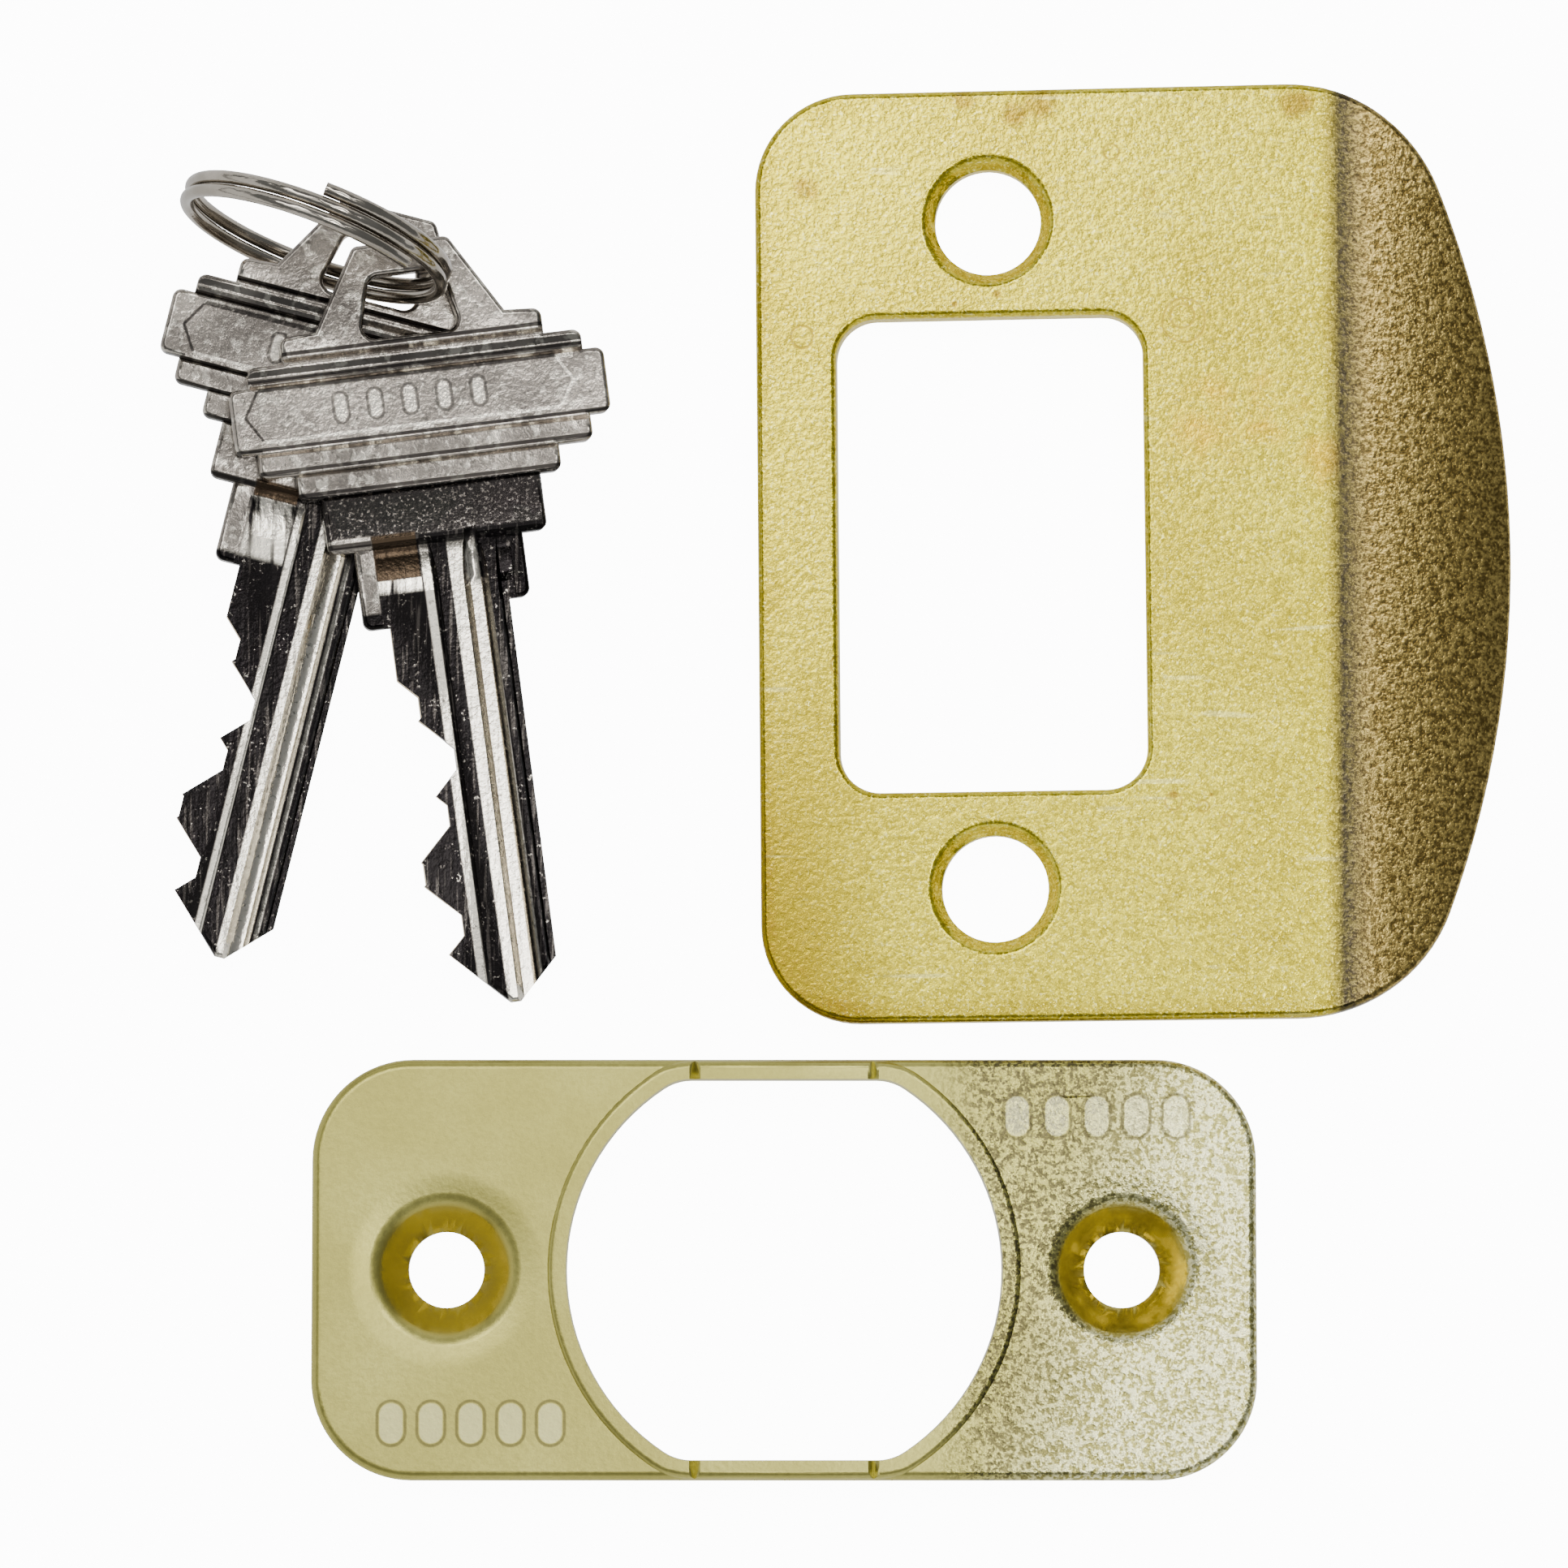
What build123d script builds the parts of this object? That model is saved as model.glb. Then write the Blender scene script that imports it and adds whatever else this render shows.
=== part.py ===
from build123d import *
import math
import os

# Loose hardware of a deadbolt lock set, as it lies on a table: a full-lip strike plate, a latch face
# plate, and two keys on a split ring.  Millimetres, +Z up, table at z = 0, origin under the middle of
# the set.  "Front" is the -Y side.

os.makedirs("parts", exist_ok=True)

# ---------------------------------------------------------------- driving dimensions: where things lie
strike_left = Vector(-4.74, 13.62, 0.02)      # middle of the strike plate's left edge, on the table
strike_turn = 0.5                            # degrees the strike plate is turned about Z
face_centre = Vector(-3.24, -29.83, 0)       # middle of the face plate's underside
pile_lean_x = -0.1034                        # slope of the key pile along X
pile_lean_y = 0.0566                         # slope of the key pile along Y
pile_height = 0.34                           # height of the pile's lower plane above the origin
rear_tip_x = -38.79                           # tip of the rear key
rear_tip_y = -10.55
rear_heading = -13.73                        # degrees from +Y, counter-clockwise
front_tip_x = -20.96                         # tip of the front key
front_tip_y = -13.54
front_heading = 7.84
key_gap = 0.16                               # space between the two keys
ring_centre = Vector(-31.47, 32.15, 9.0)     # middle of the split ring
ring_turn = -19.4                            # degrees the ring's long direction is turned from +X
ring_lean = 7.0                              # degrees the ring leans back from upright

# ---------------------------------------------------------------- driving dimensions: strike plate
strike_height = 57.15                        # 2 1/4 in
strike_reach = 45.9                          # left edge to the middle of the lip
strike_sheet = 1.7                           # sheet thickness
strike_corner = 6.0                          # left corners
lip_start = 34.6                             # left edge to the bend
lip_bend_radius = 11.0                       # bend at the underside
lip_bend = 15.0                              # degrees turned in the bend
lip_roll_radius = 45.0                       # gentle curve after the bend
lip_arc_radius = 62.5                        # plan radius of the lip's edge
lip_corner = 10.0                            # plan radius where the lip meets top and bottom edges
strike_edge = 0.45                           # rounding of the upper edges
bolt_window_x = 14.27                        # left edge to the middle of the bolt opening
bolt_window_width = 18.75
bolt_window_height = 29.1
bolt_window_corner = 2.5
strike_hole_spacing = 40.95
strike_hole_radius = 3.25
strike_sink_radius = 3.95
strike_rim_round = 0.5

# ---------------------------------------------------------------- driving dimensions: face plate
face_length = 57.15                          # 2 1/4 in
face_width = 25.4                            # 1 in
face_height = 3.0                            # overall, folded sheet
face_sheet = 1.15
face_corner = 6.1
face_edge = 0.6
opening_radius = 13.2                        # bolt opening, a circle cut by two flats
opening_flats = 23.0                         # distance between the flats
opening_blend = 3.0                          # rounding where arc and flat meet
bead_width = 1.1
bead_rise = 0.22
nick_offset = 5.4                            # small notches across the webs
nick_size = 0.34
face_hole_spacing = 41.0
face_hole_radius = 2.3
face_sink_radius = 4.15
face_rim_round = 1.2
face_boss_radius = 3.7                       # pressed cone under each screw hole
mark_length = 1.5                            # raised plain bars near two corners
mark_width = 2.5
mark_pitch = 2.4
mark_rise = 0.1
mark_count = 5
mark_x = 18.9
mark_y = 9.25

# ---------------------------------------------------------------- driving dimensions: keys
key_sheet = 1.9
key_length = 46.8
key_edge = 0.32                              # coined rounding of the blank's edges
crown_half = 2.9                             # half width of the top edge of the bow
neck_half = 5.8                              # half width at the foot of the tapered crown
neck_y = 41.9
# stepped bow: half width, lower y and upper y of each step, from the crown down to the shoulders
bow_steps = [
    (8.0, 40.2, 41.75),
    (10.25, 38.95, 40.2),
    (11.5, 34.95, 38.95),
    (10.2, 33.35, 34.95),
    (8.05, 31.75, 33.35),
    (6.7, 28.3, 31.75),
]
step_round = 0.55
shoulder_half = 5.15
spine_shoulder_y = 24.4
cut_shoulder_y = 23.5
blade_cut_x = -3.55                          # blank edge on the cut side
blade_spine_x = 3.86
bow_hole_low_y = 41.05
bow_hole_high_y = 44.85
bow_hole_low_half = 3.1
bow_hole_high_half = 2.15
bow_hole_round = 0.75
first_cut_y = 18.5                           # middle of the cut nearest the bow
cut_pitch = 3.37
cut_flat = 1.25                              # flat at each cut's root
cut_reach = 3.2
cut_roots = [-2.4, -0.62, -1.5, -3.4, -1.5]
tip_x = 1.1
tip_half_flat = 0.3
# lines across the bow: height along the key, width
bow_lines = [(40.4, 0.36), (39.5, 0.8), (38.95, 0.3), (34.8, 0.34), (33.35, 0.38), (31.75, 0.38), (28.4, 0.6)]
line_depth = 0.16
panel_half = 9.05                            # six-sided sunk panel in the middle of the bow
panel_point = 10.0
panel_low_y = 35.25
panel_high_y = 38.4
panel_depth = 0.13
panel_mark_pitch = 2.1                       # plain upright bars left standing in the panel
panel_mark_count = 5
panel_mark_height = 1.8
panel_mark_width = 0.85
groove_end_y = 25.5                          # where the milled grooves start to run out
# milled grooves on the shown face: left x, right x, slanted wall, depth
upper_grooves = [(-3.95, -0.3, 0.3, 0.42), (1.2, 2.75, 0.45, 0.62), (3.25, 4.3, 0.25, 0.35)]
lower_grooves = [(-2.35, -0.95, 0.3, 0.45), (0.35, 1.75, 0.4, 0.55)]
cutter_radius = 11.0
cutter_sweep = 24                            # degrees, past where the cutter leaves the face

# ---------------------------------------------------------------- driving dimensions: split ring
ring_radius = 8.05                            # to the middle of the wire
wire_radius = 0.41
wire_pitch = 0.87                            # sideways step in one turn
ring_turns = 2.13
ring_end_angle = 86.5                        # where the first wire end sits, from the long direction


def rim_edges(face_list, up):
    """Edges round the outside and the openings of the faces that look along up."""
    shown = face_list.filter_by(lambda f: f.normal_at().dot(up) > 0.6)
    return [edge for edge in shown.edges() if sum(edge in face.edges() for face in shown) == 1]


# ---------------------------------------------------------------- strike plate
# The lip's lowest point and the left edge both touch the table, so the plate leans by this angle.
bend = math.radians(lip_bend)
bend_run = lip_bend_radius * math.sin(bend)
bend_drop = lip_bend_radius * (1 - math.cos(bend))
lip_run = strike_reach - lip_start - bend_run
lip_turn = math.asin(math.sin(bend) + lip_run / lip_roll_radius) - bend
lip_drop = bend_drop + lip_roll_radius * (math.cos(bend) - math.cos(bend + lip_turn))
strike_lean = math.degrees(math.atan2(lip_drop, strike_reach))

strike_plane = Plane(strike_left).rotated((0, -strike_lean, strike_turn))
strike_side = Plane(strike_plane.origin, x_dir=strike_plane.x_dir, z_dir=-strike_plane.y_dir)
hole_up = strike_hole_spacing / 2

with BuildPart() as strike_plate:
    # side view of the bent sheet: flat, bend, gentle roll of the lip
    with BuildSketch(strike_side):
        with BuildLine():
            flat = Line((0, 0), (lip_start, 0))
            knee = JernArc(start=flat @ 1, tangent=flat % 1, radius=lip_bend_radius, arc_size=-lip_bend)
            roll = JernArc(start=knee @ 1, tangent=knee % 1, radius=lip_roll_radius,
                           arc_size=-math.degrees(lip_turn) - 4)
            offset(amount=strike_sheet, side=Side.LEFT)
        make_face()
    extrude(amount=strike_height, both=True)
    # outline in plan
    with BuildSketch(strike_plane.offset(-strike_height / 4)):
        with Locations((strike_reach / 2, 0)):
            Rectangle(strike_reach, strike_height)
        with Locations((strike_reach - lip_arc_radius, 0)):
            Circle(lip_arc_radius, mode=Mode.INTERSECT)
        with Locations((bolt_window_x, 0)):
            RectangleRounded(bolt_window_width, bolt_window_height, bolt_window_corner, mode=Mode.SUBTRACT)
        fillet(vertices().group_by(Axis.X)[0], strike_corner)
        fillet(vertices().group_by(Axis.X)[-1], lip_corner)
    extrude(amount=strike_height / 2, mode=Mode.INTERSECT)
    fillet(rim_edges(faces(), strike_plane.z_dir), strike_edge)
    with Locations(strike_plane.offset(strike_sheet)):
        with Locations((bolt_window_x, hole_up), (bolt_window_x, -hole_up)):
            CounterSinkHole(strike_hole_radius, strike_sink_radius, depth=2 * strike_sheet)
    sink_edges = edges().filter_by(GeomType.CIRCLE).filter_by(
        lambda e: abs(e.radius - strike_sink_radius) < 0.01)
    fillet(sink_edges, strike_rim_round)
strike_plate.part.label = "strike_plate"
export_step(strike_plate.part, "parts/strike_plate.step")


# ---------------------------------------------------------------- face plate
face_plane = Plane(face_centre)
face_top = face_plane.offset(face_height)
inner_length = face_length - 2 * face_sheet
inner_width = face_width - 2 * face_sheet
bead_height = face_height + bead_rise

with BuildPart() as face_plate:
    with BuildSketch(face_plane):
        RectangleRounded(face_length, face_width, face_corner)
    extrude(amount=face_height)
    fillet(faces().sort_by(Axis.Z).last.edges(), face_edge)
    # rolled bead round the opening
    with BuildSketch(face_plane):
        Circle(opening_radius)
        Rectangle(face_length, opening_flats, mode=Mode.INTERSECT)
        fillet(vertices(), opening_blend)
        offset(amount=bead_width)
    extrude(amount=bead_height)
    fillet(faces().sort_by(Axis.Z).last.edges(), bead_width * 0.42)
    with BuildSketch(face_plane):
        Circle(opening_radius)
        Rectangle(face_length, opening_flats, mode=Mode.INTERSECT)
        fillet(vertices(), opening_blend)
    extrude(amount=bead_height, mode=Mode.SUBTRACT)
    # the sheet is folded down at its edges, so the underside is hollow
    with BuildSketch(face_plane):
        RectangleRounded(inner_length, inner_width, face_corner - face_sheet)
        Circle(opening_radius + face_sheet, mode=Mode.SUBTRACT)
        with Locations((-face_hole_spacing / 2, 0), (face_hole_spacing / 2, 0)):
            Circle(face_boss_radius, mode=Mode.SUBTRACT)
    extrude(amount=face_height - face_sheet, mode=Mode.SUBTRACT)
    with Locations(face_top):
        with Locations((-face_hole_spacing / 2, 0), (face_hole_spacing / 2, 0)):
            CounterSinkHole(face_hole_radius, face_sink_radius, depth=2 * face_height)
    sink_edges = edges().filter_by(GeomType.CIRCLE).filter_by(
        lambda e: abs(e.radius - face_sink_radius) < 0.01)
    fillet(sink_edges, face_rim_round)
    # small notches pressed across the two webs
    with BuildSketch(Plane(face_top.origin, x_dir=(1, 0, 0), z_dir=(0, -1, 0))):
        with Locations((-nick_offset, bead_rise), (nick_offset, bead_rise)):
            RegularPolygon(nick_size, 4)
    extrude(amount=face_width, both=True, mode=Mode.SUBTRACT)
    # raised plain bars in two opposite corners
    with BuildSketch(face_top.offset(-mark_rise)):
        for side in (-1, 1):
            with Locations((side * mark_x, side * mark_y)):
                with GridLocations(mark_pitch, 0, mark_count, 1):
                    SlotOverall(mark_width, mark_length, rotation=90)
    extrude(amount=2 * mark_rise)
face_plate.part.label = "face_plate"
export_step(face_plate.part, "parts/face_plate.step")


# ---------------------------------------------------------------- keys
def key_plane(tip_x, tip_y, heading, lift):
    """Plane of a key's underside: X to the spine, Y from the tip to the bow, Z up."""
    normal = Vector(-pile_lean_x, -pile_lean_y, 1).normalized()
    height = pile_height + pile_lean_x * (tip_x - rear_tip_x) + pile_lean_y * (tip_y - rear_tip_y)
    turn = math.radians(heading)
    ahead = Vector(-math.sin(turn), math.cos(turn), 0)
    return Plane(Vector(tip_x, tip_y, height) + normal * lift, x_dir=ahead.cross(normal), z_dir=normal)


def bow_side():
    """Points of the stepped bow on the spine side, from the crown down to the shoulders."""
    points = [(crown_half, key_length), (neck_half, neck_y)]
    for half, low, high in bow_steps:
        points += [(half, high), (half, low)]
    return points + [(shoulder_half, bow_steps[-1][1])]


def blank_outline():
    """Points of the whole blank, clockwise from the crown."""
    spine_side = bow_side() + [(shoulder_half, spine_shoulder_y), (blade_spine_x, spine_shoulder_y)]
    tip_right = tip_x + tip_half_flat
    tip_left = tip_x - tip_half_flat
    tip = [(blade_spine_x, blade_spine_x - tip_right), (tip_right, 0), (tip_left, 0)]
    tip += [(blade_cut_x, tip_left - blade_cut_x), (blade_cut_x, cut_shoulder_y)]
    cut_side = [(-shoulder_half, cut_shoulder_y)] + [(-x, y) for x, y in reversed(bow_side())]
    return spine_side + tip + cut_side


def is_bow_corner(point):
    """True at the blank's corners that stick out above the blade, which are rounded."""
    widest = max(half for half, low, high in bow_steps)
    above = [step for step in bow_steps if step[1] >= bow_steps[2][1]]
    below = [step for step in bow_steps if step[1] <= bow_steps[2][1]]
    corners = [(half, high) for half, low, high in above] + [(half, low) for half, low, high in below]
    corners += [(crown_half, key_length), (shoulder_half, spine_shoulder_y), (shoulder_half, cut_shoulder_y)]
    return any(abs(abs(point.X) - x) < 0.01 and abs(point.Y - y) < 0.01 for x, y in corners)


def groove_points(groove, way):
    """Section of a milled groove, open at the face; way is 1 where the face looks up the profile."""
    left, right, wall, depth = groove
    top = 0.5 * way
    foot = -depth * way
    left_wall = [(left, top), (left, 0), (left + wall, foot)]
    if left < blade_cut_x:
        left_wall = [(left, top), (left, foot)]
    right_wall = [(right - wall, foot), (right, 0), (right, top)]
    if right > blade_spine_x:
        right_wall = [(right, foot), (right, top)]
    return left_wall + right_wall


def make_key(plane):
    """One key: stepped bow, ring hole, milled blade and five cuts, the same on every copy."""
    with BuildPart() as key:
        with BuildSketch(plane):
            with BuildLine():
                Polyline(*blank_outline(), close=True)
            make_face()
            fillet(vertices().filter_by(is_bow_corner), step_round)
        extrude(amount=key_sheet)
        with BuildSketch(plane):
            with BuildLine():
                Polyline(
                    (-bow_hole_low_half, bow_hole_low_y),
                    (bow_hole_low_half, bow_hole_low_y),
                    (bow_hole_high_half, bow_hole_high_y),
                    (-bow_hole_high_half, bow_hole_high_y),
                    close=True,
                )
            make_face()
            fillet(vertices(), bow_hole_round)
        extrude(amount=key_sheet, mode=Mode.SUBTRACT)
        # coined rounding all round the blank, both faces
        fillet(faces().filter_by(lambda f: abs(f.normal_at().dot(plane.z_dir)) > 0.999).edges(), key_edge)
        # coined lines across the bow, both faces
        with BuildSketch(Plane(plane.origin, x_dir=plane.y_dir, z_dir=plane.x_dir)):
            for y, width in bow_lines:
                with Locations((y, key_sheet)):
                    Polygon((-width / 2, 0), (0, -line_depth), (width / 2, 0), align=None)
                with Locations((y, 0)):
                    Polygon((-width / 2, 0), (0, line_depth), (width / 2, 0), align=None)
        extrude(amount=key_length, both=True, mode=Mode.SUBTRACT)
        # sunk panel on both faces, with plain bars left standing in it
        for level, way in ((key_sheet, -1), (0, 1)):
            with BuildSketch(plane.offset(level)):
                with BuildLine():
                    panel_middle = (panel_low_y + panel_high_y) / 2
                    Polyline(
                        (-panel_half, panel_low_y), (panel_half, panel_low_y),
                        (panel_point, panel_middle), (panel_half, panel_high_y),
                        (-panel_half, panel_high_y), (-panel_point, panel_middle),
                        close=True,
                    )
                make_face()
                with Locations((0, panel_middle)):
                    with GridLocations(panel_mark_pitch, 0, panel_mark_count, 1):
                        SlotOverall(panel_mark_height, panel_mark_width, rotation=90, mode=Mode.SUBTRACT)
            extrude(amount=way * panel_depth, mode=Mode.SUBTRACT)
        # milled grooves of the blade, each running out along the cutter's radius
        for grooves, level, way in ((upper_grooves, key_sheet, 1), (lower_grooves, 0, -1)):
            section_plane = Plane(plane.origin + plane.y_dir * groove_end_y + plane.z_dir * level,
                                  x_dir=plane.x_dir, z_dir=-plane.y_dir)
            for groove in grooves:
                with BuildSketch(section_plane) as section:
                    with BuildLine():
                        Polyline(*groove_points(groove, way), close=True)
                    make_face()
                centre = section_plane.origin + plane.z_dir * way * (cutter_radius - groove[3])
                extrude(section.sketch, amount=groove_end_y + 1, mode=Mode.SUBTRACT)
                revolve(section.sketch, axis=Axis(centre, plane.x_dir * way), revolution_arc=cutter_sweep,
                        mode=Mode.SUBTRACT)
        # cuts in the blade's edge
        with BuildSketch(plane.offset(-1)):
            for number, root in enumerate(cut_roots):
                middle = first_cut_y - number * cut_pitch
                with BuildLine():
                    Polyline(
                        (root, middle - cut_flat / 2),
                        (root, middle + cut_flat / 2),
                        (root - cut_reach, middle + cut_flat / 2 + cut_reach),
                        (root - cut_reach, middle - cut_flat / 2 - cut_reach),
                        close=True,
                    )
                make_face()
        extrude(amount=key_sheet + 2, mode=Mode.SUBTRACT)
    return key


front_plane = key_plane(front_tip_x, front_tip_y, front_heading, key_sheet + key_gap)
key_front = make_key(front_plane)
key_front.part.label = "key_front"
export_step(key_front.part, "parts/key_front.step")

rear_plane = key_plane(rear_tip_x, rear_tip_y, rear_heading, 0)
key_rear = make_key(rear_plane)
key_rear.part.label = "key_rear"
export_step(key_rear.part, "parts/key_rear.step")


# ---------------------------------------------------------------- split ring
# The ring's own plane: X along its long direction on the table, Y up with a backward lean.
ring_long = Vector(math.cos(math.radians(ring_turn)), math.sin(math.radians(ring_turn)), 0)
ring_back = Vector(-ring_long.Y, ring_long.X, 0)
lean = math.radians(ring_lean)
ring_up = Vector(0, 0, 1) * math.cos(lean) + ring_back * math.sin(lean)
ring_front = ring_long.cross(ring_up)
end_angle = math.radians(ring_end_angle)
ring_start = ring_long * math.cos(end_angle) + ring_up * math.sin(end_angle)
coil_height = ring_turns * wire_pitch
coil_plane = Plane(ring_centre - ring_front * (coil_height / 2), x_dir=ring_start, z_dir=ring_front)

# A helix ignores the working plane, so the coil's path is made first and then placed.
coil = coil_plane.location * Helix(pitch=wire_pitch, height=coil_height, radius=ring_radius, lefthand=True)

with BuildPart() as split_ring:
    with BuildSketch(Plane(coil @ 0, x_dir=ring_start, z_dir=coil % 0)):
        Circle(wire_radius)
    sweep(path=coil, is_frenet=True)
split_ring.part.label = "split_ring"
export_step(split_ring.part, "parts/split_ring.step")

for piece in (strike_plate, face_plate, key_front, key_rear, split_ring):
    box = piece.part.bounding_box()
    print(piece.part.label, round(piece.part.volume, 1), box.min, box.max)
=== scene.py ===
# %% [markdown]
# # Loose hardware of a deadbolt lock set
# A strike plate, a latch face plate and two keys on a split ring lie on a pale table. Their shapes and
# sizes are fixed by the CAD frame. This lesson gives the metal its true surfaces: pressed satin brass
# with a fine grain, nickel plate over coined keys, and drawn, polished ring wire.

# %% Load the frame
import bpy
import math
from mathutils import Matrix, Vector


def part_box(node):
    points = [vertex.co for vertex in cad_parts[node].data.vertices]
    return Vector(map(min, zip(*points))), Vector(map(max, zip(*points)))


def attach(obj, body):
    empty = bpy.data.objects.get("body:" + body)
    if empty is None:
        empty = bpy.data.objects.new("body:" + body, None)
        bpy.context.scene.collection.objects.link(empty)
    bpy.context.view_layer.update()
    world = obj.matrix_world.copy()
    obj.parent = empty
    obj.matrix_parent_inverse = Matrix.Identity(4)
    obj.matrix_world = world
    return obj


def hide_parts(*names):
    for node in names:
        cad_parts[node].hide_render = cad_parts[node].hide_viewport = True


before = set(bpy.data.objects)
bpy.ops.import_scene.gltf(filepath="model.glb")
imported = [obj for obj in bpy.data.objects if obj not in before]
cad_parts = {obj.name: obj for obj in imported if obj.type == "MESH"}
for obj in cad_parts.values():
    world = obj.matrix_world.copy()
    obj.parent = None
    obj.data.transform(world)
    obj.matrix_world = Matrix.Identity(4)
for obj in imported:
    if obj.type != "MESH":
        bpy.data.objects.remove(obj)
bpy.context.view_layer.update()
MM = 0.001


# %% [markdown]
# ## Finer copies of the CAD solids
# A CAD solid arrives as loose triangles, so every facet catches the light on its own. It could be
# modelled again from primitives, but its shape is already right, so each solid is copied instead. The
# copy is merged along its shared edges, its flat faces are made whole again, and it is shaded smooth up
# to a limit angle: rolled edges and wire look round, while cut edges stay crisp. Weighted normals keep
# large flat faces flat right up to their rounded rims. The copy stands for the solid and rides on its
# body.

# %% Refined copy of a CAD node
SMOOTH_LIMIT = math.radians(24)
FLAT_LIMIT = math.radians(0.4)
MERGE_DISTANCE = 0.002 * MM
FACE_WEIGHT = 100


def refined_copy(node, name, body):
    """Copy a CAD node, merge its triangles and shade it smooth where its faces nearly agree."""
    bpy.ops.object.select_all(action="DESELECT")
    source = bpy.data.objects[node]
    source.select_set(True)
    bpy.context.view_layer.objects.active = source
    bpy.ops.object.duplicate()
    piece = bpy.context.view_layer.objects.active
    piece.name = name
    piece.data.name = name
    piece.data.materials.clear()
    bpy.ops.object.mode_set(mode="EDIT")
    bpy.ops.mesh.select_all(action="SELECT")
    bpy.ops.mesh.remove_doubles(threshold=MERGE_DISTANCE)
    bpy.ops.mesh.dissolve_limited(angle_limit=FLAT_LIMIT)
    bpy.ops.object.mode_set(mode="OBJECT")
    bpy.ops.object.shade_smooth_by_angle(angle=SMOOTH_LIMIT)
    weighted = piece.modifiers.new("weighted normals", "WEIGHTED_NORMAL")
    weighted.mode = "FACE_AREA"
    weighted.weight = FACE_WEIGHT
    weighted.keep_sharp = True
    bpy.ops.object.modifier_apply(modifier=weighted.name)
    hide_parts(node)
    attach(piece, body)
    print(name, "has", len(piece.data.polygons), "faces")
    return piece


# %% [markdown]
# ## Shader maths as Python
# Wear, stains and grain are masks: numbers from 0 to 1 that vary over a surface. They could be wired up
# node by node, but a dozen masks make an unreadable web. A small class wraps a node socket instead, so
# that a mask reads like a formula: `grain * 0.3 + 0.5`.

# %% Sockets with operators
class Value:
    """A number that varies over a surface; an expression on values adds its Math nodes."""

    def __init__(self, tree, socket):
        self.tree = tree
        self.socket = socket

    def math(self, operation, other=None):
        node = self.tree.nodes.new("ShaderNodeMath")
        node.operation = operation
        for place, term in enumerate((self, other)):
            if isinstance(term, Value):
                self.tree.links.new(term.socket, node.inputs[place])
            elif term is not None:
                node.inputs[place].default_value = term
        return Value(self.tree, node.outputs[0])

    def __add__(self, other):
        return self.math("ADD", other)

    def __radd__(self, other):
        return self.math("ADD", other)

    def __mul__(self, other):
        return self.math("MULTIPLY", other)

    def __rmul__(self, other):
        return self.math("MULTIPLY", other)

    def __sub__(self, other):
        return self.math("SUBTRACT", other)

    def __rsub__(self, other):
        return (self * -1.0) + other

    def larger(self, other):
        return self.math("MAXIMUM", other)

    def smaller(self, other):
        return self.math("MINIMUM", other)

    def away(self):
        """Distance from zero, without its sign."""
        return self.math("ABSOLUTE")

    def between(self, low, high):
        """0 at low, 1 at high, smooth between them."""
        node = self.tree.nodes.new("ShaderNodeMapRange")
        node.interpolation_type = "SMOOTHSTEP"
        self.tree.links.new(self.socket, node.inputs["Value"])
        node.inputs["From Min"].default_value = low
        node.inputs["From Max"].default_value = high
        return Value(self.tree, node.outputs["Result"])


def distance_to(across, along):
    """Length of the way that is so far across and so far along."""
    return (across * across + along * along).math("SQRT")


def all_of(masks):
    """The strongest of several masks at each point."""
    strongest = masks[0]
    for mask in masks[1:]:
        strongest = strongest.larger(mask)
    return strongest


# %% [markdown]
# ## One metal, one material
# Each piece gets its own Principled material, so that its marks can sit where they are on the real
# object. Patterns read Object coordinates: they stay put when a piece moves, and they keep their size.
# All sizes below are in millimetres.

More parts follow.
